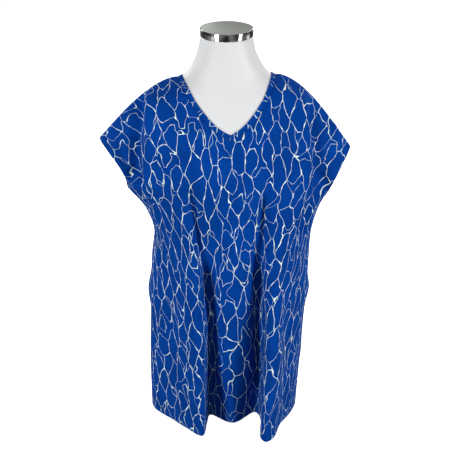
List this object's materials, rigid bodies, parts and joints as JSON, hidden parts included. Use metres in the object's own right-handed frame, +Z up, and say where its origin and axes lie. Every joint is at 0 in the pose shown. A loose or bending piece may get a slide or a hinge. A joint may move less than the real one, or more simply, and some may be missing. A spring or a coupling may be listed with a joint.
{
  "type": "tunic top on a dress form",
  "caption": "Loose V-neck tunic top in a crackle print, with cap sleeves cut in one with the body, worn by a white limbless dress form with a round metal neck cap.",
  "frame": {"origin": "middle of the dress form's flat underside, on the neck's axis", "axes": "+Z up, -Y the tunic's front, +X to the right of a viewer who faces the front"},
  "size_m": [0.5191, 0.3463, 0.88],
  "materials": {
    "jersey": "printed cotton jersey, matt",
    "jersey_band": "printed cotton jersey, matt",
    "form_satin": "smooth satin white",
    "cap_steel": "satin top, polished side"
  },
  "bodies": {
    "root": {"front": "jersey", "back": "jersey", "neckband": "jersey_band", "form_torso": "form_satin", "neck_cap": "cap_steel"}
  },
  "joints": []
}
